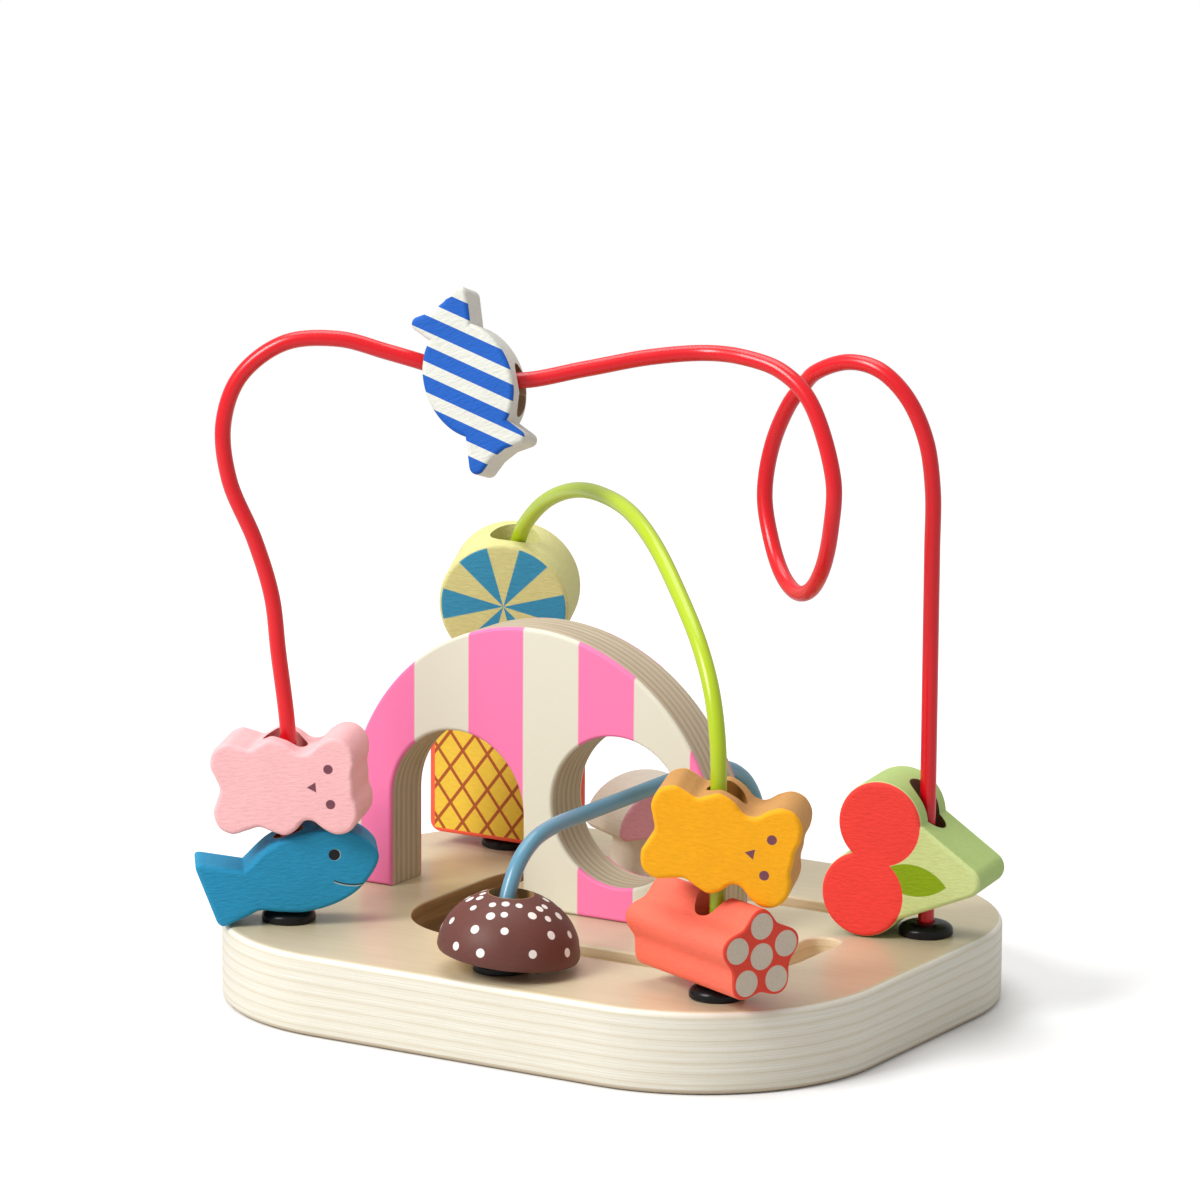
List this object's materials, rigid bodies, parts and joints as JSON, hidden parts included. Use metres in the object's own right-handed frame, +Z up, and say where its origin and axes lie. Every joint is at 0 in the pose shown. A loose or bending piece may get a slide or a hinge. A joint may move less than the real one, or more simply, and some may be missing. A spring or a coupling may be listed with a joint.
{
  "type": "bead frame",
  "caption": "Wooden toy bead frame: a rounded board with a striped arch, bent wires carrying painted animal, fruit and sweet beads, and a mushroom slider in a track.",
  "frame": {"origin": "centre of the board's underside", "axes": "+X right along the board's front long side, +Y to the back, +Z up"},
  "size_m": [0.1846, 0.1526, 0.182],
  "materials": {
    "plywood": "clear lacquered plywood",
    "arch_stripes": "plywood with pink and cream painted stripes",
    "steel": "zinc plated",
    "red_wire": "gloss powder coat",
    "green_wire": "gloss powder coat",
    "blue_wire": "gloss powder coat",
    "black_caps": "gloss moulded",
    "pink_bear": "satin paint",
    "orange_bear": "satin paint on the face, bare wood sides",
    "fish": "satin paint",
    "cherry": "satin paint",
    "candy": "satin paint with blue stripes",
    "coral_tube": "satin paint",
    "dome": "satin paint with white dots",
    "waffle": "satin paint with a brown lattice",
    "wheel": "satin paint with blue sectors",
    "mushroom": "satin paint",
    "slider_wood": "bare beech"
  },
  "bodies": {
    "frame": {"base_board": "plywood", "arch_panel": "arch_stripes", "arch_screw_left": "steel", "arch_screw_middle": "steel", "arch_screw_right": "steel", "red_wire": "red_wire", "green_wire": "green_wire", "blue_wire": "blue_wire", "red_left_cap": "black_caps", "red_right_cap": "black_caps", "green_back_cap": "black_caps", "green_front_cap": "black_caps", "blue_front_cap": "black_caps", "blue_back_cap": "black_caps"},
    "pink_bear": {"pink_bear": "pink_bear"},
    "orange_bear": {"orange_bear": "orange_bear"},
    "fish": {"fish": "fish"},
    "cherry": {"cherry": "cherry"},
    "candy": {"candy": "candy"},
    "coral_tube": {"coral_tube": "coral_tube"},
    "dome": {"dome": "dome"},
    "waffle": {"waffle": "waffle"},
    "wheel": {"wheel": "wheel"},
    "slider": {"mushroom": "mushroom", "slider_peg": "slider_wood", "slider_disc": "slider_wood", "slider_screw": "steel"}
  },
  "joints": [
    {"name": "fish_lift", "type": "slide", "parent": "frame", "child": "fish", "axis": [0, 0, 1], "range_m": [0, 0.01]},
    {"name": "pink_bear_lift", "type": "slide", "parent": "fish", "child": "pink_bear", "axis": [0, 0, 1], "range_m": [0, 0.014]},
    {"name": "coral_turn", "type": "hinge", "parent": "frame", "child": "coral_tube", "pos_m": [0.0623, -0.0546, 0.04], "axis": [0, 0, 1], "continuous": true},
    {"name": "orange_bear_lift", "type": "slide", "parent": "coral_tube", "child": "orange_bear", "axis": [0, 0, 1], "range_m": [0, 0.006]},
    {"name": "cherry_lift", "type": "slide", "parent": "frame", "child": "cherry", "axis": [0, 0, 1], "range_m": [0, 0.06]},
    {"name": "dome_turn", "type": "hinge", "parent": "frame", "child": "dome", "pos_m": [0.00545, -0.05984, 0.02431], "axis": [0.0896, 0.0538, 0.9945], "continuous": true},
    {"name": "waffle_turn", "type": "hinge", "parent": "frame", "child": "waffle", "pos_m": [-0.06, 0.046, 0.04], "axis": [0, 0, 1], "continuous": true},
    {"name": "wheel_turn", "type": "hinge", "parent": "frame", "child": "wheel", "pos_m": [-0.05852, 0.04447, 0.08807], "axis": [0.1488, -0.0892, 0.9848], "continuous": true},
    {"name": "candy_turn", "type": "hinge", "parent": "frame", "child": "candy", "pos_m": [-0.0242, -0.0271, 0.1605], "axis": [0.87, 0.4506, -0.2003], "range_deg": [-100, 100]},
    {"name": "mushroom_slide", "type": "slide", "parent": "frame", "child": "slider", "axis": [1, 0, 0], "range_m": [-0.0128, 0.044]}
  ]
}
